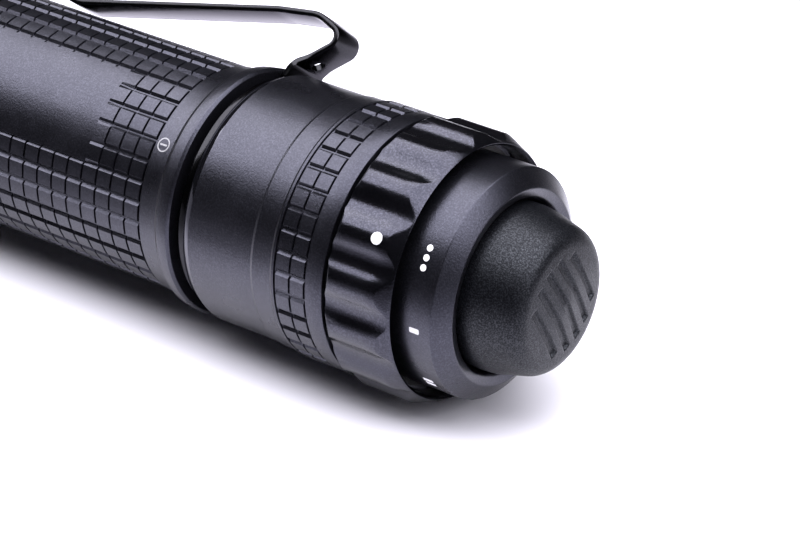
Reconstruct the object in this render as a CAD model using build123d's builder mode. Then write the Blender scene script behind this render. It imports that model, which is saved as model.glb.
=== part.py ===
"""Tactical flashlight lying on its side.

X runs along the light's axis towards the tail, +Z is up. The origin is on the axis, at the
plane where the notches in the bezel's front edge end. Lengths are in millimetres.
"""
import math
import os

from build123d import *

# Driving dimensions
BEZEL_R = 14.3
HEAD_R = 15.9
TUBE_R = 12.7
FLANGE_R = 13.8
BAND_R = 14.2
CELL_R = 9.2
CELL_LENGTH = 65.2
TUBE_END = 102.3            # rear face of the flange on the battery tube
THREAD_R = 11.4
SEAL_R = 11.9
FIT = 0.05                  # radial play of threads, lands and seals
GROOVE = 1.9                # gap that the pocket clip's ring sits in
HOUSING_END = TUBE_END + 20.8
RING_START = TUBE_END + 21.1
RING_END = TUBE_END + 29.25
RIDGE_R = 14.75
VALLEY_R = 13.95
CREST_R = 2.6               # the crest of each rib is an arc of this radius
RIBS = 16
NECK_R = 11.75              # part of the tail housing that the selector ring turns on
COLLAR_R = 12.5
COLLAR_START = TUBE_END + 26.4
COLLAR_END = TUBE_END + 34.7
BUTTON_TIP = TUBE_END + 41.4
BUTTON_TRAVEL = 2.2
INDEX_ANGLE = 146.25        # about +X, from +Y: where the index dot and first mark stand
MARK_STEP = 36.0            # from one selector position to the next
POSITIONS = 4
CLIP_ANGLE = 51.0
CLIP_WIDTH = 4.7
CLIP_THICK = 0.7

# Each rib's crest arc runs into the hollow arc of the valley beside it, and they meet where
# both have the same slope. The light rests on two ribs and on one flat of the head.
HALF_RIB = math.radians(180 / RIBS)
CREST_MID = RIDGE_R - CREST_R
HOLLOW_R = (
    (CREST_R**2 - VALLEY_R**2 - CREST_MID**2 + 2 * CREST_MID * VALLEY_R * math.cos(HALF_RIB))
    / (2 * (VALLEY_R - CREST_MID * math.cos(HALF_RIB) - CREST_R))
)
HOLLOW_MID = VALLEY_R + HOLLOW_R
FLANK = math.atan2(
    HOLLOW_MID * math.sin(HALF_RIB), HOLLOW_MID * math.cos(HALF_RIB) - CREST_MID,
)
MEET_ACROSS = CREST_R * math.sin(FLANK)
MEET_OUT = CREST_MID + CREST_R * math.cos(FLANK)
MEET_R = math.hypot(MEET_OUT, MEET_ACROSS)
MEET_ANGLE = math.degrees(math.atan2(MEET_ACROSS, MEET_OUT))
REST = CREST_MID * math.cos(HALF_RIB) + CREST_R


def half_section(*corners):
    """Closed outline of (x, radius) corners, to be turned about X."""
    with BuildSketch(Plane.XY) as outline:
        with BuildLine():
            Polyline(*corners, close=True)
        make_face()
    return outline.sketch


def across(x):
    """Sketch plane square to the axis at x, facing the tail; its own x is +Y."""
    return Plane(origin=(x, 0, 0), x_dir=(0, 1, 0), z_dir=(1, 0, 0))


def around(angle, radius):
    """Place in a plane across the axis, at an angle about +X from +Y."""
    turn = math.radians(angle)
    return (radius * math.cos(turn), radius * math.sin(turn))


def save(part, label):
    part.label = label
    export_step(part, f"parts/{label}.step")


os.makedirs("parts", exist_ok=True)

# --- Head -------------------------------------------------------------------------------
BEZEL_TIP = -1.2
BEZEL_END = 8.0
SPIGOT_R = 12.9
SPIGOT_END = 12.0
WINDOW_R = 11.6
LENS_R = 12.2
LENS_FRONT = 2.3
LENS_BACK = 4.1
LIP_END = 1.5
NOTCHES = 6
NOTCH_W = 4.2
BEADS = 3
BEAD_R = 0.9

with BuildPart() as bezel:
    revolve(
        half_section(
            (BEZEL_TIP, WINDOW_R + 0.5), (BEZEL_TIP, BEZEL_R - 0.4),
            (BEZEL_TIP + 0.4, BEZEL_R), (BEZEL_END - 0.3, BEZEL_R),
            (BEZEL_END, BEZEL_R - 0.3), (BEZEL_END, SPIGOT_R), (SPIGOT_END, SPIGOT_R),
            (SPIGOT_END, LENS_R + FIT), (LIP_END, LENS_R + FIT), (LIP_END, WINDOW_R),
            (BEZEL_TIP + 0.5, WINDOW_R),
        ),
        axis=Axis.X,
    )
    with BuildSketch(across(BEZEL_TIP)):
        with PolarLocations((BEZEL_R + WINDOW_R) / 2, NOTCHES, start_angle=30):
            Rectangle(2 * (BEZEL_R - WINDOW_R), NOTCH_W)
    extrude(amount=-BEZEL_TIP, mode=Mode.SUBTRACT)
    with Locations(across(BEZEL_TIP)):
        with PolarLocations((BEZEL_R + WINDOW_R) / 2, BEADS):
            Sphere(BEAD_R + FIT, mode=Mode.SUBTRACT)
save(bezel.part, "bezel")

with BuildPart() as strike_beads:
    with Locations(across(BEZEL_TIP)):
        with PolarLocations((BEZEL_R + WINDOW_R) / 2, BEADS):
            Sphere(BEAD_R)
save(strike_beads.part, "strike_beads")

with BuildPart() as lens_seal:
    with BuildSketch(Plane.XY):
        with Locations((LIP_END + 0.4, LENS_R - 0.42)):
            Circle(0.39)
    revolve(axis=Axis.X)
save(lens_seal.part, "lens_seal")

with BuildPart() as lens:
    revolve(
        half_section(
            (LENS_FRONT, 0), (LENS_FRONT, LENS_R - 0.2), (LENS_FRONT + 0.2, LENS_R),
            (LENS_BACK - 0.2, LENS_R), (LENS_BACK, LENS_R - 0.2), (LENS_BACK, 0),
        ),
        axis=Axis.X,
    )
save(lens.part, "lens")

# Reflector: a parabola with the emitter at its focus
EMITTER_FACE = 22.3
CUP_R = 11.3
CUP_DEPTH = 22.9 - LENS_BACK
CUP_END = 21.4
CUP_WALL = 0.9


def cup_radius(x):
    return CUP_R * math.sqrt((LENS_BACK + CUP_DEPTH - x) / CUP_DEPTH)


CUP_STATIONS = [LENS_BACK + (CUP_END - LENS_BACK) * step / 8 for step in range(9)]
with BuildPart() as reflector:
    with BuildSketch(Plane.XY):
        with BuildLine():
            inside = Spline(*[(x, cup_radius(x)) for x in CUP_STATIONS])
            Polyline(
                inside @ 1, (CUP_END, 6.4), (CUP_END - 1.2, 6.4), (10.0, LENS_R - 1.0),
                (5.3, LENS_R - 1.0 + CUP_WALL), (5.3, LENS_R), (LENS_BACK, LENS_R), inside @ 0,
            )
        make_face()
    revolve(axis=Axis.X)
save(reflector.part, "reflector")

LED_BOARD_FRONT = 23.2
SHELF_FRONT = 24.8
with BuildPart() as centering_ring:
    revolve(
        half_section((CUP_END, 3.9), (CUP_END, 6.2), (LED_BOARD_FRONT, 6.2),
                     (LED_BOARD_FRONT, 3.9)),
        axis=Axis.X,
    )
save(centering_ring.part, "centering_ring")

with BuildPart() as led_emitter:
    with BuildSketch(across(LED_BOARD_FRONT)):
        RectangleRounded(5.0, 5.0, 0.3)
    extrude(amount=EMITTER_FACE - LED_BOARD_FRONT)
    with BuildSketch(across(EMITTER_FACE)):
        RectangleRounded(3.6, 3.6, 0.2)
    extrude(amount=-0.25)
save(led_emitter.part, "led_emitter")

LEAD_RADIUS = 5.0
LEAD_R = 0.55
with BuildPart() as led_board:
    with BuildSketch(across(SHELF_FRONT)):
        Circle(8.0)
        with PolarLocations(8.0, 2, start_angle=90):
            Circle(1.0, mode=Mode.SUBTRACT)
    extrude(amount=LED_BOARD_FRONT - SHELF_FRONT)
save(led_board.part, "led_board")

SHELF_BACK = 27.2
DRIVER_FRONT = 29.4
DRIVER_BACK = 31.0
with BuildPart() as led_leads:
    with BuildSketch(across(SHELF_FRONT)):
        with PolarLocations(LEAD_RADIUS, 2):
            Circle(LEAD_R)
    extrude(amount=DRIVER_FRONT - SHELF_FRONT)
save(led_leads.part, "led_leads")

HEAD_END = 41.5
HEAD_SHOULDER = 9.6
FIN_START = 25.0
FIN_R = 15.1
FIN_PITCH = 2.6
FIN_GAP = 1.3
FIN_DEPTH = 1.7
TAPER_START = 33.6
HEAD_TAIL_R = 13.3
TUBE_START = 33.4
SEAL_START = 38.0
with BuildPart() as head:
    revolve(
        half_section(
            (BEZEL_END, SPIGOT_R + FIT), (BEZEL_END, BEZEL_R), (HEAD_SHOULDER, HEAD_R),
            (FIN_START - 0.8, HEAD_R), (FIN_START, FIN_R), (TAPER_START, FIN_R),
            (HEAD_END - 1.4, HEAD_TAIL_R), (HEAD_END - 0.3, HEAD_TAIL_R),
            (HEAD_END, HEAD_TAIL_R - 0.3), (HEAD_END, SEAL_R + FIT),
            (SEAL_START, SEAL_R + FIT), (SEAL_START, THREAD_R + FIT),
            (TUBE_START - 0.2, THREAD_R + FIT), (TUBE_START - 0.2, 9.7),
            (DRIVER_BACK, 9.7), (DRIVER_BACK, 9.05), (SHELF_BACK, 9.05), (SHELF_BACK, 0),
            (SHELF_FRONT, 0), (SHELF_FRONT, 8.05), (LED_BOARD_FRONT, 8.05),
            (LED_BOARD_FRONT, 12.5), (SPIGOT_END + 0.2, 12.5),
            (SPIGOT_END + 0.2, SPIGOT_R + FIT),
        ),
        axis=Axis.X,
    )
    for fin in range(3):
        gap_start = FIN_START + 1.1 + fin * FIN_PITCH
        revolve(
            half_section(
                (gap_start, FIN_R - FIN_DEPTH), (gap_start, HEAD_R),
                (gap_start + FIN_GAP, HEAD_R), (gap_start + FIN_GAP, FIN_R - FIN_DEPTH),
            ),
            axis=Axis.X,
            mode=Mode.SUBTRACT,
        )
    with BuildSketch(across(BEZEL_END)):
        RegularPolygon(REST, 6, major_radius=False)
    extrude(amount=HEAD_END - BEZEL_END, mode=Mode.INTERSECT)
    with BuildSketch(across(SHELF_FRONT)):
        with PolarLocations(LEAD_RADIUS, 2):
            Circle(LEAD_R + 0.35)
    extrude(amount=SHELF_BACK - SHELF_FRONT, mode=Mode.SUBTRACT)
save(head.part, "head")

with BuildPart() as driver_board:
    with BuildSketch(across(DRIVER_BACK)):
        Circle(9.0)
    extrude(amount=DRIVER_FRONT - DRIVER_BACK)
    with BuildSketch(across(DRIVER_FRONT)):
        with Locations((0, 5.2), (0, -5.2)):
            Rectangle(4.0, 2.4)
        with Locations((-2.6, 0)):
            Rectangle(1.6, 3.2)
    extrude(amount=-1.3)
save(driver_board.part, "driver_board")

with BuildPart() as driver_ring:
    revolve(
        half_section((DRIVER_BACK, 7.6), (DRIVER_BACK, 9.65), (TUBE_START - 0.6, 9.65),
                     (TUBE_START - 0.6, 7.6)),
        axis=Axis.X,
    )
    with BuildSketch(across(TUBE_START - 0.6)):
        with PolarLocations(8.6, 2):
            Circle(0.7)
    extrude(amount=-1.0, mode=Mode.SUBTRACT)
save(driver_ring.part, "driver_ring")

CELL_BUTTON = 36.6
CELL_START = 37.8
CELL_END = CELL_START + CELL_LENGTH


def coil_spring(start, length, turns, end_radius, taper, wire):
    """Round-wire spring along +X whose coils narrow by taper degrees."""
    path = Plane(origin=(start + wire, 0, 0), x_dir=(0, 1, 0), z_dir=(1, 0, 0)) * Helix(
        (length - 2 * wire) / turns, length - 2 * wire, end_radius, cone_angle=-taper
    )
    with BuildPart() as coil:
        with BuildSketch(Plane(origin=path @ 0, z_dir=path % 0)):
            Circle(wire)
        sweep(path=path, is_frenet=True)
    return coil.part


head_spring = coil_spring(DRIVER_BACK, CELL_BUTTON - 0.1 - DRIVER_BACK, 3.5, 5.2, 20, 0.4)
save(head_spring, "head_spring")


def gland_seal(x, land_radius):
    """Round seal in a groove whose floor is 1.1 below the land."""
    with BuildPart() as seal:
        with BuildSketch(Plane.XY):
            with Locations((x, land_radius - 0.54)):
                Circle(0.54)
        revolve(axis=Axis.X)
    return seal.part


GLAND_DEPTH = 1.1
GLAND_WIDTH = 1.3
HEAD_GLAND = 39.7
TAIL_GLAND = TUBE_END + 4.6
save(gland_seal(HEAD_GLAND, SEAL_R), "head_seal")
save(gland_seal(TAIL_GLAND, SEAL_R), "tail_seal")

# --- Battery tube -----------------------------------------------------------------------
BORE_R = 9.6
TUBE_TAIL = TUBE_END + 12.5
TUBE_BODY = HEAD_END + 0.1
LAND_END = TUBE_END + 6.4
with BuildPart() as body_tube:
    revolve(
        half_section(
            (TUBE_START, BORE_R), (TUBE_START, THREAD_R - 0.4), (TUBE_START + 0.4, THREAD_R),
            (SEAL_START, THREAD_R), (SEAL_START, SEAL_R), (TUBE_BODY, SEAL_R),
            (TUBE_BODY, FLANGE_R - 0.9), (TUBE_BODY + 0.3, FLANGE_R - 0.6),
            (TUBE_BODY + 1.8, FLANGE_R - 0.6), (TUBE_BODY + 2.6, TUBE_R + 0.1),
            (TUBE_BODY + 4.4, TUBE_R + 0.1), (TUBE_BODY + 4.5, TUBE_R),
            (TUBE_END - 4.9, TUBE_R), (TUBE_END - 4.8, TUBE_R + 0.1),
            (TUBE_END - 2.4, TUBE_R + 0.3), (TUBE_END - 1.7, FLANGE_R - 0.2),
            (TUBE_END - 0.3, FLANGE_R), (TUBE_END, FLANGE_R - 0.3), (TUBE_END, SEAL_R),
            (LAND_END, SEAL_R), (LAND_END, THREAD_R), (TUBE_TAIL - 0.5, THREAD_R),
            (TUBE_TAIL, THREAD_R - 0.5), (TUBE_TAIL, BORE_R),
        ),
        axis=Axis.X,
    )
    for gland in (HEAD_GLAND, TAIL_GLAND):
        revolve(
            half_section(
                (gland - GLAND_WIDTH / 2, SEAL_R - GLAND_DEPTH), (gland - GLAND_WIDTH / 2, 13),
                (gland + GLAND_WIDTH / 2, 13), (gland + GLAND_WIDTH / 2, SEAL_R - GLAND_DEPTH),
            ),
            axis=Axis.X,
            mode=Mode.SUBTRACT,
        )
save(body_tube.part, "body_tube")

# --- Rechargeable cell ------------------------------------------------------------------
with BuildPart() as cell_can:
    revolve(
        half_section(
            (CELL_BUTTON, 0), (CELL_BUTTON, 2.6), (CELL_BUTTON + 0.3, 2.9),
            (CELL_START + 0.4, 2.9), (CELL_START + 0.4, CELL_R - 0.6),
            (CELL_START + 0.7, CELL_R - 0.25), (CELL_END - 0.6, CELL_R - 0.25),
            (CELL_END - 0.2, CELL_R - 0.7), (CELL_END - 0.2, 0),
        ),
        axis=Axis.X,
    )
save(cell_can.part, "cell_can")

with BuildPart() as cell_insulator:
    revolve(
        half_section((CELL_START + 0.1, 3.0), (CELL_START + 0.1, CELL_R - 1.4),
                     (CELL_START + 0.4, CELL_R - 1.4), (CELL_START + 0.4, 3.0)),
        axis=Axis.X,
    )
save(cell_insulator.part, "cell_insulator")

with BuildPart() as cell_wrap:
    revolve(
        half_section(
            (CELL_START, CELL_R - 1.3), (CELL_START, CELL_R - 0.3), (CELL_START + 0.3, CELL_R),
            (CELL_END - 0.3, CELL_R), (CELL_END, CELL_R - 0.3), (CELL_END, CELL_R - 1.6),
            (CELL_END - 0.2, CELL_R - 1.6), (CELL_END - 0.2, CELL_R - 0.7),
            (CELL_END - 0.6, CELL_R - 0.25), (CELL_START + 0.7, CELL_R - 0.25),
            (CELL_START + 0.4, CELL_R - 0.6), (CELL_START + 0.4, CELL_R - 1.3),
        ),
        axis=Axis.X,
    )
save(cell_wrap.part, "cell_wrap")

# --- Pocket clip: open ring in the groove, and a strip that folds back over the tube -------
RING_IN = SEAL_R + 0.25
RING_OUT = 12.95
RING_FRONT = TUBE_END + 0.7
RING_BACK = TUBE_END + 1.5
RING_OPENING = 30.0
CLIP_PLANE = Plane(
    origin=(0, 0, 0),
    x_dir=(1, 0, 0),
    z_dir=(0, -math.sin(math.radians(CLIP_ANGLE)), math.cos(math.radians(CLIP_ANGLE))),
)
TONGUE_START = Vector(TUBE_END + 0.65, 14.75)
TONGUE_END = Vector(TUBE_END + 5.35, 18.9)
TONGUE = TONGUE_END - TONGUE_START
TAB_WIDTH = 9.0             # where the strip leaves the ring
TAB_ROOT = 12.6
TAB_SHOULDER = 6.6          # width where the strip bends towards the tail
TAB_REACH = 1.7             # how far past that bend the strip is wider than CLIP_WIDTH
LANYARD_R = 0.75
LANYARD_PLACE = 0.24        # share of the way along the tongue


def clip_across(radial, sideways):
    """Place in a plane across the axis, out along the clip's mid-plane and to one side."""
    turn = math.radians(CLIP_ANGLE)
    return (
        radial * math.cos(turn) - sideways * math.sin(turn),
        radial * math.sin(turn) + sideways * math.cos(turn),
    )


TONGUE_PLANE = Plane(
    origin=CLIP_PLANE.from_local_coords(TONGUE_START),
    x_dir=CLIP_PLANE.from_local_coords(TONGUE),
    z_dir=CLIP_PLANE.from_local_coords(Vector(-TONGUE.Y, TONGUE.X)),
)
with BuildPart() as pocket_clip:
    with BuildSketch(CLIP_PLANE):
        with BuildLine():
            FilletPolyline(
                (RING_FRONT + 0.4, TAB_ROOT),
                (TONGUE_START.X, TONGUE_START.Y),
                (TONGUE_END.X, TONGUE_END.Y),
                (TUBE_END + 0.95, 20.36),
                (TUBE_END - 4.5, 19.55),
                (TUBE_END - 30.6, 13.25),
                (TUBE_END - 36.0, 15.4),
                radius=(2.2, 1.2, 3.1, 7.0, 5.0),
            )
            offset(amount=CLIP_THICK / 2, side=Side.BOTH)
        make_face()
    extrude(amount=CLIP_WIDTH / 2, both=True)
    with BuildSketch(across(RING_FRONT)):
        with BuildLine():
            Polyline(
                clip_across(TAB_ROOT, TAB_WIDTH / 2),
                clip_across(TONGUE_START.Y, TAB_SHOULDER / 2),
                clip_across(TONGUE_START.Y, -TAB_SHOULDER / 2),
                clip_across(TAB_ROOT, -TAB_WIDTH / 2),
                close=True,
            )
        make_face()
    extrude(amount=CLIP_THICK)
    with BuildSketch(TONGUE_PLANE):
        with BuildLine():
            Polyline(
                (0, TAB_SHOULDER / 2), (TAB_REACH, CLIP_WIDTH / 2),
                (TAB_REACH, -CLIP_WIDTH / 2), (0, -TAB_SHOULDER / 2), close=True,
            )
        make_face()
    extrude(amount=CLIP_THICK / 2, both=True)
    revolve(
        half_section((RING_FRONT, RING_IN), (RING_FRONT, RING_OUT), (RING_BACK, RING_OUT),
                     (RING_BACK, RING_IN)),
        axis=Axis.X,
    )
    with BuildSketch(across(RING_FRONT)):
        with BuildLine():
            Polyline(
                (0, 0),
                around(CLIP_ANGLE + 180 - RING_OPENING / 2, 2 * RING_OUT),
                around(CLIP_ANGLE + 180 + RING_OPENING / 2, 2 * RING_OUT),
                close=True,
            )
        make_face()
    extrude(amount=RING_BACK - RING_FRONT, mode=Mode.SUBTRACT)
    with BuildSketch(TONGUE_PLANE):
        with Locations((TONGUE.length * LANYARD_PLACE, 0)):
            Circle(LANYARD_R)
    extrude(amount=CLIP_THICK, both=True, mode=Mode.SUBTRACT)
save(pocket_clip.part, "pocket_clip")

# --- Tail cap: housing, switch module and marked collar ------------------------------------
HOUSING_START = TUBE_END + GROOVE
STEP_X = TUBE_END + 11.4
CHAMBER_R = 10.65
SHOULDER_R = 9.8
BOARD_FRONT = TUBE_END + 14.0
BOARD_BACK = TUBE_END + 15.2
NECK_END = COLLAR_START - 0.05
DETENT_RADIUS = 13.0
DETENT_ANGLE = INDEX_ANGLE + 180
BALL_R = 0.8
BALL_X = RING_START - 0.05 - BALL_R
with BuildPart() as tail_housing:
    revolve(
        half_section(
            (HOUSING_START, SEAL_R + 2 * FIT), (HOUSING_START, FLANGE_R - 0.3),
            (HOUSING_START + 0.9, FLANGE_R), (STEP_X - 0.2, FLANGE_R),
            (STEP_X + 0.15, FLANGE_R + 0.15), (TUBE_END + 14.2, FLANGE_R + 0.15),
            (TUBE_END + 14.5, BAND_R), (HOUSING_END - 0.2, BAND_R),
            (HOUSING_END, BAND_R - 0.2), (HOUSING_END, NECK_R), (NECK_END, NECK_R),
            (NECK_END, CHAMBER_R), (BOARD_BACK + 1.0, CHAMBER_R),
            (BOARD_BACK + 1.0, SHOULDER_R), (BOARD_BACK, SHOULDER_R),
            (BOARD_BACK, CHAMBER_R), (TUBE_TAIL + 0.1, CHAMBER_R),
            (TUBE_TAIL + 0.1, THREAD_R + FIT), (LAND_END, THREAD_R + FIT),
            (LAND_END, SEAL_R + 2 * FIT),
        ),
        axis=Axis.X,
    )
    with BuildSketch(across(HOUSING_END)):
        with Locations(around(DETENT_ANGLE, DETENT_RADIUS)):
            Circle(BALL_R + FIT)
    extrude(amount=-5.0, mode=Mode.SUBTRACT)
save(tail_housing.part, "tail_housing")

with BuildPart() as switch_ring:
    revolve(
        half_section((TUBE_TAIL + 0.2, 8.4), (TUBE_TAIL + 0.2, CHAMBER_R - FIT),
                     (BOARD_FRONT, CHAMBER_R - FIT), (BOARD_FRONT, 8.4)),
        axis=Axis.X,
    )
    with BuildSketch(across(TUBE_TAIL + 0.2)):
        with PolarLocations(9.5, 2):
            Circle(0.6)
    extrude(amount=0.8, mode=Mode.SUBTRACT)
save(switch_ring.part, "switch_ring")

with BuildPart() as switch_board:
    with BuildSketch(across(BOARD_FRONT)):
        Circle(CHAMBER_R - FIT)
    extrude(amount=BOARD_BACK - BOARD_FRONT)
    with BuildSketch(across(BOARD_BACK)):
        with Locations((8.0, 0), (-8.0, 0)):
            Rectangle(1.6, 3.0)
    extrude(amount=0.9)
save(switch_board.part, "switch_board")

SWITCH_END = TUBE_END + 20.4
STEM_R = 2.0
STEM_START = SWITCH_END - 0.2
with BuildPart() as switch_body:
    with BuildSketch(across(BOARD_BACK)):
        RectangleRounded(9.0, 9.0, 0.6)
    extrude(amount=SWITCH_END - BOARD_BACK)
    with BuildSketch(across(SWITCH_END)):
        Circle(STEM_R + 0.2)
    extrude(amount=-BUTTON_TRAVEL - 0.6, mode=Mode.SUBTRACT)
save(switch_body.part, "switch_body")

tail_spring = coil_spring(CELL_END + 0.1, BOARD_FRONT - CELL_END - 0.1, 5.5, 3.2, -14, 0.45)
save(tail_spring, "tail_spring")

with BuildPart() as detent_ball:
    with Locations(across(BALL_X)):
        with Locations(around(DETENT_ANGLE, DETENT_RADIUS)):
            Sphere(BALL_R)
save(detent_ball.part, "detent_ball")

SPRING_SEAT = HOUSING_END - 5.0
detent_coil = coil_spring(SPRING_SEAT, BALL_X - BALL_R - SPRING_SEAT, 5, 0.55, 0, 0.12)
save(Pos(0, *around(DETENT_ANGLE, DETENT_RADIUS)) * detent_coil, "detent_spring")

# Collar: screws into the housing's neck, keeps the selector ring on, and holds the button in
FLANGE_START = TUBE_END + 25.8
POCKET_END = TUBE_END + 30.2
POCKET_R = 10.2
HOLE_R = 9.2
RIM_R = 10.6
CONE_START = TUBE_END + 33.3
DISH_DEPTH = 1.2
with BuildPart() as tail_collar:
    revolve(
        half_section(
            (TUBE_END + 21.6, 9.5), (TUBE_END + 21.6, CHAMBER_R - FIT - 0.3),
            (TUBE_END + 21.9, CHAMBER_R - FIT), (COLLAR_START, CHAMBER_R - FIT),
            (COLLAR_START, COLLAR_R - 0.2), (COLLAR_START + 0.2, COLLAR_R),
            (CONE_START, COLLAR_R), (COLLAR_END - 0.15, RIM_R + 0.15),
            (COLLAR_END, RIM_R - 0.1), (COLLAR_END - 0.75, HOLE_R + 0.35),
            (COLLAR_END - DISH_DEPTH, HOLE_R), (POCKET_END, HOLE_R), (POCKET_END, POCKET_R),
            (FLANGE_START, POCKET_R), (FLANGE_START, 9.5),
        ),
        axis=Axis.X,
    )
save(tail_collar.part, "tail_collar")

# --- Selector ring --------------------------------------------------------------------------
COUNTERBORE = TUBE_END + 26.0
CONE_R = 13.85
CONE_LENGTH = 1.67
RING_BORE = NECK_R + 0.07
with BuildPart() as selector_ring:
    with BuildSketch(across(RING_START)):
        with BuildLine():
            for rib in range(RIBS):
                middle = INDEX_ANGLE + rib * 360 / RIBS
                ThreePointArc(
                    around(middle - MEET_ANGLE, MEET_R),
                    around(middle, RIDGE_R),
                    around(middle + MEET_ANGLE, MEET_R),
                )
                ThreePointArc(
                    around(middle + MEET_ANGLE, MEET_R),
                    around(middle + 180 / RIBS, VALLEY_R),
                    around(middle + 360 / RIBS - MEET_ANGLE, MEET_R),
                )
        make_face()
    extrude(amount=RING_END - RING_START)
    revolve(
        half_section(
            (RING_START, 0), (RING_START, RIDGE_R - 0.6), (RING_START + 0.7, RIDGE_R + 0.1),
            (RING_END - CONE_LENGTH, RIDGE_R + 0.1), (RING_END, CONE_R), (RING_END, 0),
        ),
        axis=Axis.X,
        mode=Mode.INTERSECT,
    )
    revolve(
        half_section(
            (RING_START, 0), (RING_START, RING_BORE), (COUNTERBORE, RING_BORE),
            (COUNTERBORE, 13.5), (RING_END - 0.3, 13.5), (RING_END, CONE_R - 0.1),
            (RING_END, 0),
        ),
        axis=Axis.X,
        mode=Mode.SUBTRACT,
    )
    with BuildSketch(across(RING_START)):
        with Locations(around(INDEX_ANGLE + 90, DETENT_RADIUS)):
            Circle(0.8)
    extrude(amount=2.6, mode=Mode.SUBTRACT)
    with Locations(across(BALL_X + 0.25)):
        for position in range(POSITIONS):
            with Locations(around(DETENT_ANGLE - position * MARK_STEP, DETENT_RADIUS)):
                Sphere(BALL_R, mode=Mode.SUBTRACT)
save(selector_ring.part, "selector_ring")

with BuildPart() as selector_magnet:
    with BuildSketch(across(RING_START + 0.1)):
        with Locations(around(INDEX_ANGLE + 90, DETENT_RADIUS)):
            Circle(0.78)
    extrude(amount=2.4)
save(selector_magnet.part, "selector_magnet")

with BuildPart() as slide_washer:
    revolve(
        half_section((COUNTERBORE + 0.05, NECK_R + 0.1), (COUNTERBORE + 0.05, 13.2),
                     (COLLAR_START - 0.05, 13.2), (COLLAR_START - 0.05, NECK_R + 0.1)),
        axis=Axis.X,
    )
save(slide_washer.part, "slide_washer")

# --- Tail button --------------------------------------------------------------------------
BUTTON_R = 9.0
BOOT_START = TUBE_END + 28.5
SHOULDER = (BUTTON_TIP - 0.8, 7.7)
BOOT_WALL = 1.5
with BuildPart() as button_boot:
    with BuildSketch(Plane.XY):
        with BuildLine():
            dome = FilletPolyline(
                (POCKET_END - 0.1, BUTTON_R), (COLLAR_END + 0.8, BUTTON_R), SHOULDER,
                (BUTTON_TIP, 0), radius=(8.0, 2.2),
            )
            Polyline(
                dome @ 1, (BUTTON_TIP - BOOT_WALL, 0), (BUTTON_TIP - BOOT_WALL - 0.6, 5.0),
                (BUTTON_TIP - BOOT_WALL - 2.4, BUTTON_R - BOOT_WALL - 0.8),
                (COLLAR_END, BUTTON_R - BOOT_WALL), (BOOT_START, BUTTON_R - BOOT_WALL),
                (BOOT_START, POCKET_R - 0.3), (POCKET_END - 0.1, POCKET_R - 0.3), dome @ 0,
            )
        make_face()
    revolve(axis=Axis.X)
save(button_boot.part, "button_boot")

with BuildPart() as button_plunger:
    revolve(
        half_section(
            (STEM_START, 0), (STEM_START, STEM_R), (TUBE_END + 24.8, STEM_R),
            (TUBE_END + 24.8, 8.6), (BOOT_START - 0.1, 8.6), (BOOT_START - 0.1, 7.3),
            (COLLAR_END - 0.1, 7.3), (BUTTON_TIP - 4.4, 6.4), (BUTTON_TIP - 2.5, 4.8),
            (BUTTON_TIP - 1.8, 0),
        ),
        axis=Axis.X,
    )
save(button_plunger.part, "button_plunger")
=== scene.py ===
"""Tactical flashlight lying on a pale floor.

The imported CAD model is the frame: X runs along the light's axis towards the tail, +Z is up.
Outlines are given in millimetres as (x, radius) and become metres when a mesh is made.
"""
import math

import bmesh
import bpy
import numpy as np
from mathutils import Matrix, Vector


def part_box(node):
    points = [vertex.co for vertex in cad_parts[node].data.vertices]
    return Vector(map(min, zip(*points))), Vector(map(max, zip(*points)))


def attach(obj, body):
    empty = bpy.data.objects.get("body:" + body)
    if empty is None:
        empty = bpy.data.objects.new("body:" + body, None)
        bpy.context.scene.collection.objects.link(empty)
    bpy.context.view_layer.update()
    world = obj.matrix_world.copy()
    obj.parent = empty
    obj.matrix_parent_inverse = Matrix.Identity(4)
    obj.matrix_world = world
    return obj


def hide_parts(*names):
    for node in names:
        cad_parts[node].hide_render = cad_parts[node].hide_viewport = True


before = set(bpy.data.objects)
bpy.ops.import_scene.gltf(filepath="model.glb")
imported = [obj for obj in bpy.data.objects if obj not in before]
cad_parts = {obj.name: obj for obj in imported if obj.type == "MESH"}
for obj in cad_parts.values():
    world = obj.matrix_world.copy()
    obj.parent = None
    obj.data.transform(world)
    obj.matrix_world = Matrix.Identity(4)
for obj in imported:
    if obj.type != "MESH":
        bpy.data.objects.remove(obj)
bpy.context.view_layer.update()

MM = 0.001

# --- Sizes, in millimetres, shared by several pieces -------------------------------------
GROOVE = 1.9                # gap that the pocket clip's ring sits in
TUBE_R = 12.7
FLANGE_R = 13.8
BAND_R = 14.2
SEAL_R = 11.9
THREAD_R = 11.4
BORE_R = 9.6
GLAND_DEPTH = 1.1           # groove of a tube seal
GLAND_WIDTH = 1.3
PLAY = 0.05                 # radial play of threads, lands and seals
INDEX_ANGLE = 146.25        # about +X, from +Y: where the index dot and first mark stand
MARK_STEP = 36.0            # from one selector position to the next

HOUSING_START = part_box("tail_housing")[0].x / MM
FLANGE_END = HOUSING_START - GROOVE
HOUSING_END = FLANGE_END + 20.8
NECK_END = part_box("tail_housing")[1].x / MM
RING_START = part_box("selector_ring")[0].x / MM
RING_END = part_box("selector_ring")[1].x / MM
COLLAR_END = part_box("tail_collar")[1].x / MM
BUTTON_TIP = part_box("button_boot")[1].x / MM
TUBE_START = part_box("body_tube")[0].x / MM
TUBE_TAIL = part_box("body_tube")[1].x / MM
HEAD_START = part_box("head")[0].x / MM
HEAD_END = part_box("head")[1].x / MM
BEZEL_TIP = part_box("bezel")[0].x / MM
FLOOR_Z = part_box("head")[0].z


# --- Mesh making -------------------------------------------------------------------------
def even(count):
    """Angles all the way round, in degrees."""
    return np.arange(count) * 360.0 / count


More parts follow.
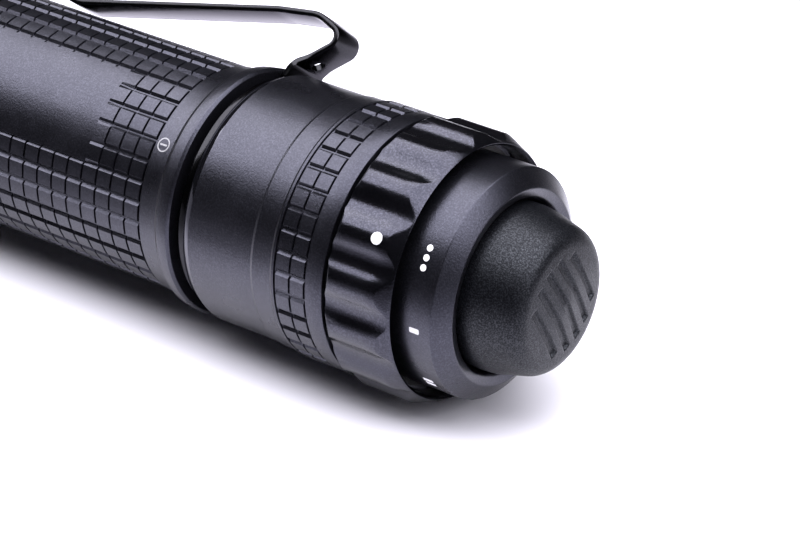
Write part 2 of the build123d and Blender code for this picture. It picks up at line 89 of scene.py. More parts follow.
def soften(points, radius=0.15, steps=3, closed=True, radii=None):
    """Replaces each corner of an outline with a small arc."""
    points = [np.array(p, float) for p in points]
    count = len(points)
    result = []
    for i, corner in enumerate(points):
        if not closed and i in (0, count - 1):
            result.append(corner)
            continue
        before = points[i - 1] - corner
        after = points[(i + 1) % count] - corner
        short = min(np.linalg.norm(before), np.linalg.norm(after))
        wanted = (radii or {}).get(i, radius)
        before_dir = before / np.linalg.norm(before)
        after_dir = after / np.linalg.norm(after)
        half = math.acos(np.clip(before_dir @ after_dir, -1, 1)) / 2
        if wanted <= 0 or half > math.radians(86):
            result.append(corner)
            continue
        reach = min(wanted / math.tan(half), 0.45 * short)
        arc_r = reach * math.tan(half)
        bisector = before_dir + after_dir
        bisector /= np.linalg.norm(bisector)
        centre = corner + bisector * arc_r / math.sin(half)
        start = corner + before_dir * reach - centre
        end = corner + after_dir * reach - centre
        sweep = math.pi - 2 * half
        for k in range(steps + 1):
            t = k / steps
            a = math.sin((1 - t) * sweep) / math.sin(sweep)
            b = math.sin(t * sweep) / math.sin(sweep)
            result.append(centre + a * start + b * end)
    return [tuple(p) for p in result]


def refine(points, spacing):
    """Adds points so that no step along an open outline is longer than the spacing."""
    result = []
    for a, b in zip(points, points[1:]):
        count = max(1, math.ceil(math.hypot(b[0] - a[0], b[1] - a[1]) / spacing))
        result += [np.add(a, np.subtract(b, a) * k / count) for k in range(count)]
    return np.array(result + [np.array(points[-1], float)])


def make_object(name, vertices, faces, material, crease=32):
    """Object from vertices in millimetres, with outward normals and smooth shading."""
    mesh = bpy.data.meshes.new(name)
    mesh.from_pydata([tuple(v * MM for v in p) for p in vertices], [], faces)
    mesh.validate()
    bm = bmesh.new()
    bm.from_mesh(mesh)
    bmesh.ops.recalc_face_normals(bm, faces=bm.faces)
    bm.to_mesh(mesh)
    bm.free()
    mesh.shade_smooth()
    mesh.set_sharp_from_angle(angle=math.radians(crease))
    obj = bpy.data.objects.new(name, mesh)
    bpy.context.scene.collection.objects.link(obj)
    mesh.materials.append(material)
    return obj


def loop_faces(rows, cols, capped):
    """Faces between successive loops of vertices: capped at both ends, or last joined to first."""
    faces = []
    for i in range(rows - 1 if capped else rows):
        low = i * cols
        high = ((i + 1) % rows) * cols
        for j in range(cols):
            k = (j + 1) % cols
            faces.append((low + j, low + k, high + k, high + j))
    if capped:
        faces.append(tuple(range(cols)))
        faces.append(tuple(range((rows - 1) * cols, rows * cols)))
    return faces


def grid_solid(xs, rs, angles, capped=False):
    """Vertices and faces of a turned solid; xs and rs are arrays of outline point by angle.

    A capped solid has both ends of its outline on the axis; any other outline closes on itself.
    """
    turn = np.radians(angles)
    vertices = np.stack([xs, rs * np.cos(turn), rs * np.sin(turn)], -1).reshape(-1, 3).tolist()
    return vertices, loop_faces(*xs.shape, capped)


def turned(name, outline, material, angles=None, shape=None, capped=False, crease=32):
    """Solid turned about X; shape(x, r, angle) may move the outline's points at each angle."""
    angles = even(192) if angles is None else angles
    points = np.array(outline, float)
    xs = np.repeat(points[:, :1], len(angles), 1)
    rs = np.repeat(points[:, 1:], len(angles), 1)
    if shape:
        xs, rs = shape(xs, rs, np.repeat(angles[None, :], len(points), 0))
    vertices, faces = grid_solid(xs, rs, angles, capped)
    return make_object(name, vertices, faces, material, crease)


def place(piece, body, slot, *nodes):
    """Puts a finished piece on its body and hides the CAD nodes it stands for; the slot argument
    is not used.
    """
    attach(piece, body)
    if nodes:
        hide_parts(*nodes)


# --- Materials ---------------------------------------------------------------------------
def new_material(name):
    """Material with its nodes, links and main shader."""
    material = bpy.data.materials.new(name)
    material.use_nodes = True
    nodes = material.node_tree.nodes
    shader = next(n for n in nodes if n.type == "BSDF_PRINCIPLED")
    return material, nodes, material.node_tree.links, shader


def own_place(nodes):
    """Place on the surface, in the object's own coordinates."""
    node = next((n for n in nodes if n.type == "TEX_COORD"), None)
    return (node or nodes.new("ShaderNodeTexCoord")).outputs["Object"]


def noise(nodes, links, scale, detail=2.0, roughness=0.5):
    """Noise in the object's own coordinates; scale is features per metre."""
    texture = nodes.new("ShaderNodeTexNoise")
    texture.inputs["Scale"].default_value = scale
    texture.inputs["Detail"].default_value = detail
    texture.inputs["Roughness"].default_value = roughness
    links.new(own_place(nodes), texture.inputs["Vector"])
    return texture


def ramp(nodes, links, source, stops):
    """Colour ramp over a 0 to 1 value; stops are (position, colour)."""
    node = nodes.new("ShaderNodeValToRGB")
    elements = node.color_ramp.elements
    while len(elements) < len(stops):
        elements.new(0.5)
    for element, (position, colour) in zip(elements, stops):
        element.position = position
        element.color = (*colour, 1.0)
    links.new(source, node.inputs["Fac"])
    return node


def map_range(nodes, links, source, low, high, new_low, new_high):
    """Moves a value from one range to another."""
    node = nodes.new("ShaderNodeMapRange")
    node.inputs["From Min"].default_value = low
    node.inputs["From Max"].default_value = high
    node.inputs["To Min"].default_value = new_low
    node.inputs["To Max"].default_value = new_high
    links.new(source, node.inputs["Value"])
    return node


def bump(nodes, links, height, distance, shader):
    node = nodes.new("ShaderNodeBump")
    node.inputs["Distance"].default_value = distance
    node.inputs["Strength"].default_value = 1.0
    links.new(height, node.inputs["Height"])
    links.new(node.outputs["Normal"], shader.inputs["Normal"])


def grained(name, dark, light, roughness, grain=5200, depth=1.6e-5, metallic=0.0,
            tint=(0.78, 0.79, 1.0), spread=0.07, specular=0.5, sparkle=0.0):
    """Coated surface with fine grain: two close colours, mottled gloss and grain bump.

    Sparkle is how much more the highest grains reflect.
    """
    material, nodes, links, shader = new_material(name)
    fine = noise(nodes, links, grain, 3.0, 0.6)
    cloudy = noise(nodes, links, 240, 3.0)
    colour = ramp(nodes, links, fine.outputs["Fac"], [(0.35, dark), (0.7, light)])
    links.new(colour.outputs["Color"], shader.inputs["Base Color"])
    gloss = map_range(nodes, links, cloudy.outputs["Fac"], 0.3, 0.7,
                      roughness - spread / 2, roughness + spread / 2)
    links.new(gloss.outputs["Result"], shader.inputs["Roughness"])
    shader.inputs["Metallic"].default_value = metallic
    shine = map_range(nodes, links, fine.outputs["Fac"], 0.45, 0.7, specular, specular + sparkle)
    links.new(shine.outputs["Result"], shader.inputs["Specular IOR Level"])
    shader.inputs["Specular Tint"].default_value = (*tint, 1.0)
    bump(nodes, links, fine.outputs["Fac"], depth, shader)
    return material


anodised = grained("anodised", (0.0015, 0.0015, 0.002), (0.0035, 0.0035, 0.0045), 0.3,
                   depth=2.2e-5, specular=0.56, sparkle=0.3)
satin = grained("anodised_satin", (0.001, 0.001, 0.0015), (0.0025, 0.0025, 0.003), 0.17,
                depth=1.5e-5, specular=0.48, sparkle=0.4)
polished = grained("anodised_polished", (0.0015, 0.0015, 0.002), (0.003, 0.003, 0.004), 0.07,
                   depth=1e-6, specular=0.9, spread=0.02)
coated = grained("coated_steel", (0.024, 0.024, 0.026), (0.032, 0.032, 0.035), 0.17,
                 depth=0.4e-5, metallic=1.0, tint=(0.7, 0.69, 0.72), spread=0.04)
rubber = grained("button_rubber", (0.001, 0.001, 0.0015), (0.004, 0.0045, 0.006), 0.4,
                 grain=6500, depth=2.6e-5, tint=(0.85, 0.9, 1.0), specular=0.18, sparkle=0.45)
seal_rubber = grained("seal_rubber", (0.006, 0.006, 0.007), (0.012, 0.012, 0.013), 0.33,
                      grain=2600, depth=0.6e-5)
grey_paint = grained("grey_paint", (0.3, 0.3, 0.31), (0.4, 0.4, 0.42), 0.5,
                     depth=0.8e-5, tint=(1, 1, 1))
paint = grained("white_paint", (0.84, 0.84, 0.85), (0.95, 0.95, 0.96), 0.5,
                depth=0.8e-5, tint=(1, 1, 1))
white_plastic = grained("white_plastic", (0.72, 0.72, 0.69), (0.82, 0.82, 0.79), 0.45,
                        grain=1800, tint=(1, 1, 1))
black_plastic = grained("black_plastic", (0.018, 0.018, 0.02), (0.03, 0.03, 0.033), 0.4,
                        grain=2400, tint=(1, 1, 1))
ceramic = grained("ceramic", (0.82, 0.82, 0.81), (0.9, 0.9, 0.89), 0.12,
                  grain=900, depth=2e-6, tint=(1, 1, 1))
slide_polymer = grained("slide_polymer", (0.01, 0.01, 0.01), (0.016, 0.016, 0.016), 0.4,
                        grain=1500, tint=(1, 1, 1), specular=0.3)
sleeve = grained("cell_sleeve", (0.05, 0.13, 0.27), (0.07, 0.17, 0.33), 0.22,
                 grain=700, depth=1.2e-5, tint=(1, 1, 1))


def turned_metal(name, colour, roughness):
    """Bare metal with the fine rings that turning leaves."""
    material, nodes, links, shader = new_material(name)
    fine = noise(nodes, links, 3000, 4.0, 0.7)
    stretch = nodes.new("ShaderNodeMapping")
    stretch.inputs["Scale"].default_value = (1.0, 0.04, 0.04)
    links.new(own_place(nodes), stretch.inputs["Vector"])
    links.new(stretch.outputs["Vector"], fine.inputs["Vector"])
    darker = tuple(c * 0.8 for c in colour)
    shade = ramp(nodes, links, fine.outputs["Fac"], [(0.3, darker), (0.7, colour)])
    links.new(shade.outputs["Color"], shader.inputs["Base Color"])
    gloss = map_range(nodes, links, fine.outputs["Fac"], 0.3, 0.7,
                      roughness * 0.8, roughness * 1.3)
    links.new(gloss.outputs["Result"], shader.inputs["Roughness"])
    shader.inputs["Metallic"].default_value = 1.0
    bump(nodes, links, fine.outputs["Fac"], 4e-6, shader)
    return material


brass = turned_metal("brass", (0.72, 0.52, 0.22), 0.3)
gold = turned_metal("gold_plating", (0.85, 0.66, 0.3), 0.24)
nickel = turned_metal("nickel", (0.66, 0.65, 0.62), 0.28)
bearing = turned_metal("bearing_steel", (0.6, 0.6, 0.62), 0.16)
copper = turned_metal("copper_board", (0.78, 0.45, 0.3), 0.34)


def board_material():
    """Green solder mask with tinned tracks."""
    material, nodes, links, shader = new_material("circuit_board")
    tracks = nodes.new("ShaderNodeTexBrick")
    tracks.inputs["Scale"].default_value = 420
    tracks.inputs["Mortar Size"].default_value = 0.012
    tracks.inputs["Color1"].default_value = (0.012, 0.085, 0.035, 1)
    tracks.inputs["Color2"].default_value = (0.016, 0.1, 0.042, 1)
    tracks.inputs["Mortar"].default_value = (0.05, 0.2, 0.09, 1)
    swing = nodes.new("ShaderNodeMapping")
    swing.inputs["Rotation"].default_value = (0, math.radians(90), 0)
    links.new(own_place(nodes), swing.inputs["Vector"])
    links.new(swing.outputs["Vector"], tracks.inputs["Vector"])
    links.new(tracks.outputs["Color"], shader.inputs["Base Color"])
    shader.inputs["Roughness"].default_value = 0.3
    bump(nodes, links, tracks.outputs["Fac"], -2e-5, shader)
    return material


def mirror_material():
    """Vacuum-coated reflector with a faint orange-peel."""
    material, nodes, links, shader = new_material("mirror_coating")
    peel = noise(nodes, links, 260, 2.0)
    shade = ramp(nodes, links, peel.outputs["Fac"],
                 [(0.3, (0.86, 0.87, 0.88)), (0.7, (0.92, 0.93, 0.94))])
    links.new(shade.outputs["Color"], shader.inputs["Base Color"])
    shader.inputs["Metallic"].default_value = 1.0
    shader.inputs["Roughness"].default_value = 0.06
    bump(nodes, links, peel.outputs["Fac"], 6e-6, shader)
    return material


def glass_material():
    """Clear coated window with faint smears."""
    material, nodes, links, shader = new_material("window_glass")
    smears = noise(nodes, links, 180, 3.0)
    shader.inputs["Base Color"].default_value = (0.96, 0.97, 1.0, 1)
    shader.inputs["Transmission Weight"].default_value = 1.0
    shader.inputs["IOR"].default_value = 1.46
    gloss = map_range(nodes, links, smears.outputs["Fac"], 0.3, 0.8, 0.0, 0.05)
    links.new(gloss.outputs["Result"], shader.inputs["Roughness"])
    return material


def emitter_material():
    """Phosphor in the middle of a white ceramic base."""
    material, nodes, links, shader = new_material("emitter_phosphor")
    parts = nodes.new("ShaderNodeSeparateXYZ")
    links.new(own_place(nodes), parts.inputs["Vector"])
    inside = None
    for axis in ("Y", "Z"):
        size = nodes.new("ShaderNodeMath")
        size.operation = "ABSOLUTE"
        links.new(parts.outputs[axis], size.inputs[0])
        near = nodes.new("ShaderNodeMath")
        near.operation = "LESS_THAN"
        near.inputs[1].default_value = 1.55 * MM
        links.new(size.outputs[0], near.inputs[0])
        if inside:
            both = nodes.new("ShaderNodeMath")
            both.operation = "MULTIPLY"
            links.new(inside.outputs[0], both.inputs[0])
            links.new(near.outputs[0], both.inputs[1])
            inside = both
        else:
            inside = near
    shade = ramp(nodes, links, inside.outputs[0],
                 [(0.2, (0.82, 0.82, 0.8)), (0.8, (0.9, 0.62, 0.06))])
    links.new(shade.outputs["Color"], shader.inputs["Base Color"])
    speckle = noise(nodes, links, 9000, 2.0)
    bump(nodes, links, speckle.outputs["Fac"], 1e-5, shader)
    shader.inputs["Roughness"].default_value = 0.35
    return material


def lead_material():
    """Black insulation on one lead and red on the other."""
    material, nodes, links, shader = new_material("lead_insulation")
    parts = nodes.new("ShaderNodeSeparateXYZ")
    links.new(own_place(nodes), parts.inputs["Vector"])
    side = map_range(nodes, links, parts.outputs["Y"], -0.001, 0.001, 0.0, 1.0)
    shade = ramp(nodes, links, side.outputs["Result"],
                 [(0.4, (0.02, 0.02, 0.02)), (0.6, (0.5, 0.02, 0.015))])
    links.new(shade.outputs["Color"], shader.inputs["Base Color"])
    shader.inputs["Roughness"].default_value = 0.45
    return material


board = board_material()
mirror = mirror_material()
glass = glass_material()
phosphor = emitter_material()
lead = lead_material()

NODE_MATERIALS = {
    "strike_beads": ceramic, "lens_seal": seal_rubber, "centering_ring": white_plastic,
    "led_emitter": phosphor, "led_board": copper, "led_leads": lead, "driver_board": board,
    "driver_ring": brass, "head_spring": gold, "head_seal": seal_rubber,
    "tail_seal": seal_rubber, "cell_can": nickel, "cell_insulator": white_plastic,
    "cell_wrap": sleeve, "switch_ring": brass, "switch_board": board,
    "switch_body": black_plastic, "tail_spring": gold, "detent_ball": bearing,
    "detent_spring": bearing, "slide_washer": slide_polymer, "selector_magnet": nickel,
    "button_plunger": black_plastic,
}
for node_name, node_material in NODE_MATERIALS.items():
    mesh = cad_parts[node_name].data
    mesh.materials.clear()
    mesh.materials.append(node_material)
    mesh.shade_smooth()
    mesh.set_sharp_from_angle(angle=math.radians(30))


# --- Grip pads ---------------------------------------------------------------------------
COLUMN_FLOOR = 0.13         # ring grooves: floor, and run of each wall
COLUMN_WALL = 0.07
ROW_FLOOR = 0.15            # grooves along the light
ROW_WALL = 0.29
PAD_DEPTH = 0.30


def column_stations(start, pitch, count):
    """X stations of the ring grooves that bound each pad, with the groove share at each."""
    stations = []
    for column in range(count + 1):
        middle = start + column * pitch
        for offset, share in (
            (-COLUMN_FLOOR / 2 - COLUMN_WALL, 0.0), (-COLUMN_FLOOR / 2, 1.0),
            (COLUMN_FLOOR / 2, 1.0), (COLUMN_FLOOR / 2 + COLUMN_WALL, 0.0),
        ):
            stations.append((middle + offset, share))
    return stations


def row_angles(rows, phase, radius):
    """Angles of the grooves that run along the light, with the groove share at each."""
    step = 360.0 / rows
    floor = math.degrees(ROW_FLOOR / 2 / radius)
    wall = floor + math.degrees(ROW_WALL / radius)
    angles = []
    shares = []
    for row in range(rows):
        middle = phase + row * step
        for offset, share in ((-wall, 0.0), (-floor, 1.0), (floor, 1.0), (wall, 0.0)):
            angles.append(middle + offset)
            shares.append(share)
        for part in (0.34, 0.66):
            angles.append(middle + wall + part * (step - 2 * wall))
            shares.append(0.0)
    return np.array(angles), np.array(shares)


# --- Battery tube ------------------------------------------------------------------------
ROWS = 34
TUBE_PHASE = INDEX_ANGLE + 2.2
COLUMN_PITCH = 2.05
COLUMNS = 25
PAD_END = FLANGE_END - 4.95
PAD_START = PAD_END - COLUMNS * COLUMN_PITCH
BAND_START = FLANGE_END - 4.7   # plain band between the pads and the flange
PANEL_LOW = INDEX_ANGLE - 40.2
PANEL_HIGH = INDEX_ANGLE + 12.8
PANEL_START = PAD_START + 3 * COLUMN_PITCH
PANEL_END = PAD_END - 3.2 * COLUMN_PITCH
PANEL_DROP = 0.10           # how far the smooth panel lies below the pads
PANEL_SLOPE = 0.45          # run of the slope at both ends of the panel
NOTCH = 1.3                 # degrees that the ring grooves run out into the panel
THREAD_PITCH = 1.0
THREAD_DEPTH = 0.45
LAND_END = FLANGE_END + 6.4     # end of the seal's land, and of the bore that takes it
TUBE_THREAD = LAND_END + 0.2
HEAD_GLAND = 39.05              # front of each seal's groove
TAIL_GLAND = FLANGE_END + 3.95
SEAT_LENGTH = 3.6               # land in the head, in front of the tube's step


def gland(start):
    """Corners of the groove that a tube seal sits in."""
    floor = SEAL_R - GLAND_DEPTH
    end = start + GLAND_WIDTH
    return [(start, SEAL_R), (start, floor), (end, floor), (end, SEAL_R)]


def tube():
    """Battery tube: lands and seal grooves at both ends, grip pads, smooth panel, tail thread."""
    angles, row_share = row_angles(ROWS, TUBE_PHASE, TUBE_R)
    body_start = HEAD_END + 0.1
    front = [
        (TUBE_START, BORE_R), (TUBE_START, THREAD_R - 0.4), (TUBE_START + 0.4, THREAD_R),
        (body_start - SEAT_LENGTH, THREAD_R), (body_start - SEAT_LENGTH, SEAL_R),
        *gland(HEAD_GLAND), (body_start, SEAL_R),
        (body_start, FLANGE_R - 0.9), (body_start + 0.3, FLANGE_R - 0.6),
        (body_start + 1.8, FLANGE_R - 0.6), (body_start + 2.6, TUBE_R + 0.1),
        (PAD_START - 0.4, TUBE_R + 0.1),
    ]
    rear = [
        (BAND_START, TUBE_R + 0.1), (FLANGE_END - 2.4, TUBE_R + 0.3),
        (FLANGE_END - 1.7, FLANGE_R - 0.2), (FLANGE_END - 0.3, FLANGE_R),
        (FLANGE_END, FLANGE_R - 0.3), (FLANGE_END, SEAL_R), *gland(TAIL_GLAND),
        (LAND_END, SEAL_R),
        (TUBE_THREAD - 0.15, THREAD_R - THREAD_DEPTH),
    ]
    front = soften(front, 0.1, 2, closed=False)
    rear = soften(rear, 0.1, 2, closed=False)
    pads = column_stations(PAD_START, COLUMN_PITCH, COLUMNS)
    thread = [(x, THREAD_R) for x in np.arange(TUBE_THREAD, TUBE_TAIL - 0.55, 0.125)]
    end = [(TUBE_TAIL - 0.1, THREAD_R - 0.6), (TUBE_TAIL, THREAD_R - 0.75), (TUBE_TAIL, BORE_R)]
    outline = front + [(x, TUBE_R) for x, share in pads] + rear + thread + end
    first_pad = len(front)
    first_thread = first_pad + len(pads) + len(rear)
    column_share = np.array([share for x, share in pads])

    def shape(xs, rs, turns):
        rows = slice(first_pad, first_pad + len(pads))
        x = xs[rows]
        angle = turns[rows]
        share = np.maximum(column_share[:, None], row_share[None, :])
        around_panel = (angle - PANEL_LOW) % 360
        width = PANEL_HIGH - PANEL_LOW
        inside = (around_panel > 0.2) & (around_panel < width - 0.2)
        inside &= (x > PANEL_START) & (x < PANEL_END)
        notch = around_panel < NOTCH
        share = np.where(inside & ~(notch & (column_share[:, None] > 0)), 0.0, share)
        ease = np.clip(np.minimum(x - PANEL_START, PANEL_END - x) / PANEL_SLOPE, 0, 1)
        rs[rows] -= PAD_DEPTH * share
        rs[rows] -= np.where(inside, PANEL_DROP * ease * (share == 0), 0)
        rows = slice(first_thread, first_thread + len(thread))
        phase = (xs[rows] / THREAD_PITCH - turns[rows] / 360) % 1.0
        crest = np.clip(1.25 - np.abs(phase - 0.5) * 3.4, 0, 1)
        run_in = np.clip((xs[rows] - TUBE_THREAD) / 0.5, 0, 1)
        run_in = np.minimum(run_in, np.clip((TUBE_TAIL - 0.5 - xs[rows]) / 0.5, 0, 1))
        rs[rows] = THREAD_R - THREAD_DEPTH + THREAD_DEPTH * crest * run_in
        return xs, rs

    piece = turned("tube_shell", outline, anodised, angles, shape, crease=24)
    place(piece, "light_body", "anodised_aluminium", "body_tube")


tube()

# --- Tail housing ------------------------------------------------------------------------
BAND_ROWS = 38
BAND_PHASE = INDEX_ANGLE - 0.5
BAND_PITCH = 1.95
GRIP_START = FLANGE_END + 14.65
BAND_COLUMNS = 2
RING_GROOVE_SHARE = 0.8     # depth of the band's ring grooves, as a share of the others'
STEP_X = FLANGE_END + 11.4
NECK_R = 11.75
BEVEL_END = HOUSING_START + 0.9     # end of the polished bevel at the front edge
CHAMBER_R = 10.65


def housing():
    """Tail housing: polished front bevel, a small step, a band of pads, and the ring's neck."""
    angles, row_share = row_angles(BAND_ROWS, BAND_PHASE, BAND_R)
    front = soften([
        (HOUSING_START, SEAL_R + 2 * PLAY), (HOUSING_START, FLANGE_R - 0.3),
        (BEVEL_END, FLANGE_R), (STEP_X - 0.22, FLANGE_R),
        (STEP_X + 0.15, FLANGE_R + 0.16), (GRIP_START - 0.75, FLANGE_R + 0.16),
        (GRIP_START - 0.4, BAND_R),
    ], 0.05, 2, closed=False)
    pads = column_stations(GRIP_START, BAND_PITCH, BAND_COLUMNS)
    back = soften([
        (GRIP_START + BAND_COLUMNS * BAND_PITCH + 0.6, BAND_R), (HOUSING_END, BAND_R),
        (HOUSING_END, NECK_R), (NECK_END, NECK_R), (NECK_END, CHAMBER_R),
        (TUBE_TAIL + 0.1, CHAMBER_R),
        (TUBE_TAIL + 0.1, THREAD_R + PLAY), (LAND_END, THREAD_R + PLAY),
        (LAND_END, SEAL_R + 2 * PLAY), (HOUSING_START + 0.1, SEAL_R + 2 * PLAY),
    ], 0.15, 2, closed=False)
    outline = front + [(x, BAND_R) for x, share in pads] + back
    first = len(front)
    column_share = np.array([share for x, share in pads])

    def shape(xs, rs, turns):
        rows = slice(first, first + len(pads))
        ring_share = RING_GROOVE_SHARE * column_share[:, None]
        share = np.maximum(ring_share, row_share[None, :])
        outer = (np.arange(len(pads)) < 2) | (np.arange(len(pads)) >= len(pads) - 2)
        share = np.where(outer[:, None], ring_share, share)
        rs[rows] -= PAD_DEPTH * share
        return xs, rs

    piece = turned("housing_shell", outline, anodised, angles, shape, crease=24)
    piece.data.materials.append(polished)
    for face in piece.data.polygons:
        x = face.center.x / MM
        if HOUSING_START < x < BEVEL_END and face.normal.x > -0.8:
            face.material_index = int(face.center.yz.length / MM > FLANGE_R - 0.4)
    place(piece, "tail_cap", "anodised_aluminium", "tail_housing")


housing()

# --- Selector ring -----------------------------------------------------------------------
RIBS = 16
RIDGE_R = 14.75
VALLEY_R = 13.95
CREST_R = 2.6               # radius of each rib's crest arc
CREST_SLACK = 0.1           # the rear cone starts this far above the crests
CONE_R = 13.85
CONE_LENGTH = 1.67
RING_BORE = NECK_R + 0.07
POCKET_IN_RING = 13.5
COUNTERBORE = FLANGE_END + 26.0
HALF_RIB = math.radians(180 / RIBS)
CREST_MID = RIDGE_R - CREST_R
HOLLOW_R = (
    (CREST_R**2 - VALLEY_R**2 - CREST_MID**2 + 2 * CREST_MID * VALLEY_R * math.cos(HALF_RIB))
    / (2 * (VALLEY_R - CREST_MID * math.cos(HALF_RIB) - CREST_R))
)
HOLLOW_MID = VALLEY_R + HOLLOW_R
FLANK = math.atan2(
    HOLLOW_MID * math.sin(HALF_RIB), HOLLOW_MID * math.cos(HALF_RIB) - CREST_MID,
)
MEET = math.atan2(CREST_R * math.sin(FLANK), CREST_MID + CREST_R * math.cos(FLANK))


def rib_radius(angle):
    """Radius of the ribbed outline at an angle in degrees: crest arcs joined by hollow arcs."""
    step = 360 / RIBS
    off = np.abs(np.radians((np.asarray(angle) - INDEX_ANGLE + step / 2) % step - step / 2))
    across = np.minimum(CREST_MID * np.sin(off), CREST_R)
    crest = CREST_MID * np.cos(off) + np.sqrt(CREST_R**2 - across**2)
    off = HALF_RIB - off
    across = np.minimum(HOLLOW_MID * np.sin(off), HOLLOW_R)
    hollow = HOLLOW_MID * np.cos(off) - np.sqrt(HOLLOW_R**2 - across**2)
    return np.where(HALF_RIB - off < MEET, crest, hollow)


def ring():
    """Selector ring: ribs cut by a cone at each end, and the counterbore for the collar."""
    angles = INDEX_ANGLE - 180 / RIBS + even(RIBS * 24)
    radius = rib_radius(angles)
    flat = np.zeros_like(angles)
    slope = CONE_LENGTH / (RIDGE_R + CREST_SLACK - CONE_R)
    cone_x = RING_END - (radius - CONE_R) * slope
    front_r = RIDGE_R - 0.6
    front = np.minimum(radius, front_r)
    crest_x = RING_START + np.maximum(radius - front_r, 0)
    rows = [
        (RING_START + flat, front - 0.12), (RING_START + 0.05 + flat, front - 0.03),
        (RING_START + 0.1 + 0.9 * (crest_x - RING_START), front + 0.88 * (radius - front)),
        (crest_x + 0.16, radius),
    ]
    for part in (0.25, 0.5, 0.75):
        rows.append((crest_x + 0.16 + part * (cone_x - crest_x - 0.26), radius))
    rows += [(cone_x - 0.08, radius), (cone_x + 0.04, radius - 0.04)]
    for part in (0.35, 0.7):
        rows.append((cone_x + part * (RING_END - cone_x), radius - part * (radius - CONE_R)))
    rows += [
        (RING_END - 0.04 + flat, CONE_R + 0.02 + flat), (RING_END + flat, CONE_R - 0.03 + flat),
        (RING_END + flat, CONE_R - 0.08 + flat), (RING_END - 0.3 + flat, POCKET_IN_RING + flat),
        (COUNTERBORE + flat, POCKET_IN_RING + flat), (COUNTERBORE + flat, RING_BORE + flat),
        (RING_START + flat, RING_BORE + flat),
    ]
    xs = np.array([row[0] for row in rows])
    rs = np.array([row[1] for row in rows])
    vertices, faces = grid_solid(xs, rs, angles)
    piece = make_object("ring_shell", vertices, faces, satin, crease=26)
    place(piece, "selector", "satin_aluminium", "selector_ring")


ring()

# --- Tail collar -------------------------------------------------------------------------
COLLAR_START = FLANGE_END + 26.4
COLLAR_R = 12.5
RIM_R = 10.6
CONE_START = FLANGE_END + 33.3
HOLE_R = 9.2
POCKET_START = FLANGE_END + 25.8
POCKET_END = FLANGE_END + 30.2
POCKET_R = 10.2
SPIGOT_START = FLANGE_END + 21.6    # part of the collar inside the housing's neck
SPIGOT_BORE = 9.5


def collar():
    """Tail collar: cone, rim and dish around the button, and the spigot that holds it."""
    outline = soften([
        (SPIGOT_START, SPIGOT_BORE), (SPIGOT_START, CHAMBER_R - PLAY),
        (COLLAR_START, CHAMBER_R - PLAY), (COLLAR_START, COLLAR_R), (CONE_START, COLLAR_R),
        (COLLAR_END, RIM_R), (COLLAR_END - 0.3, HOLE_R + 0.35), (COLLAR_END - 0.9, HOLE_R),
        (POCKET_END, HOLE_R), (POCKET_END, POCKET_R), (POCKET_START, POCKET_R),
        (POCKET_START, SPIGOT_BORE),
    ], 0.12, 4, radii={4: 0.22, 5: 0.28, 6: 0.5})
    piece = turned("collar_shell", outline, anodised, even(256))
    place(piece, "tail_cap", "anodised_aluminium", "tail_collar")


collar()

# --- Tail button -------------------------------------------------------------------------
BUTTON_R = 9.0
SHOULDER = (BUTTON_TIP - 0.8, 7.7)
BOOT_START = FLANGE_END + 28.5
BOOT_WALL = 1.5
SLOTS = 5
SLOT_PITCH = 1.9
SLOT_WIDTH = 0.75
SLOT_DEPTH = 0.35
SLOT_FIELD_R = 5.3
SLOT_TILT = 30.0
SLOT_EDGE = 0.22            # run of each slot's wall


def button():
    """Rubber button: domed side, and a flat face with five slots."""
    side = soften([
        (POCKET_END - 0.1, BUTTON_R), (COLLAR_END + 0.8, BUTTON_R), SHOULDER, (BUTTON_TIP, 0.02),
    ], 0, 10, closed=False, radii={1: 8.0, 2: 2.2})
    flat_from = side[-2]
    face = [
        (flat_from[0] + t * (BUTTON_TIP - flat_from[0]), flat_from[1] + t * (0.02 - flat_from[1]))
        for t in np.linspace(0, 1, 64)
    ]
    inside = [
        (BUTTON_TIP - BOOT_WALL, 0.02), (BUTTON_TIP - BOOT_WALL - 0.6, 5.0),
        (BUTTON_TIP - BOOT_WALL - 2.4, BUTTON_R - BOOT_WALL - 0.8),
        (COLLAR_END, BUTTON_R - BOOT_WALL), (BOOT_START, BUTTON_R - BOOT_WALL),
        (BOOT_START, POCKET_R - 0.3), (POCKET_END - 0.1, POCKET_R - 0.3),
    ]
    outline = side[:-2] + face + inside
    first = len(side) - 2

    def shape(xs, rs, turns):
        rows = slice(first, first + len(face))
        angle = np.radians(turns[rows] - SLOT_TILT)
        across = rs[rows] * np.cos(angle)
        along = rs[rows] * np.sin(angle)
        nearest = np.round(across / SLOT_PITCH)
        nearest = np.clip(nearest, -(SLOTS // 2), SLOTS // 2)
        side_off = np.abs(across - nearest * SLOT_PITCH) - SLOT_WIDTH / 2
        half_length = np.sqrt(np.maximum(SLOT_FIELD_R**2 - (nearest * SLOT_PITCH)**2, 0.01))
        end_off = np.abs(along) - half_length
        away = np.maximum(side_off, end_off)
        xs[rows] -= SLOT_DEPTH * np.clip(0.5 - away / SLOT_EDGE, 0, 1)
        return xs, rs

    piece = turned("button_shell", outline, rubber, even(300), shape, crease=50)
    place(piece, "button", "button_rubber", "button_boot")


button()

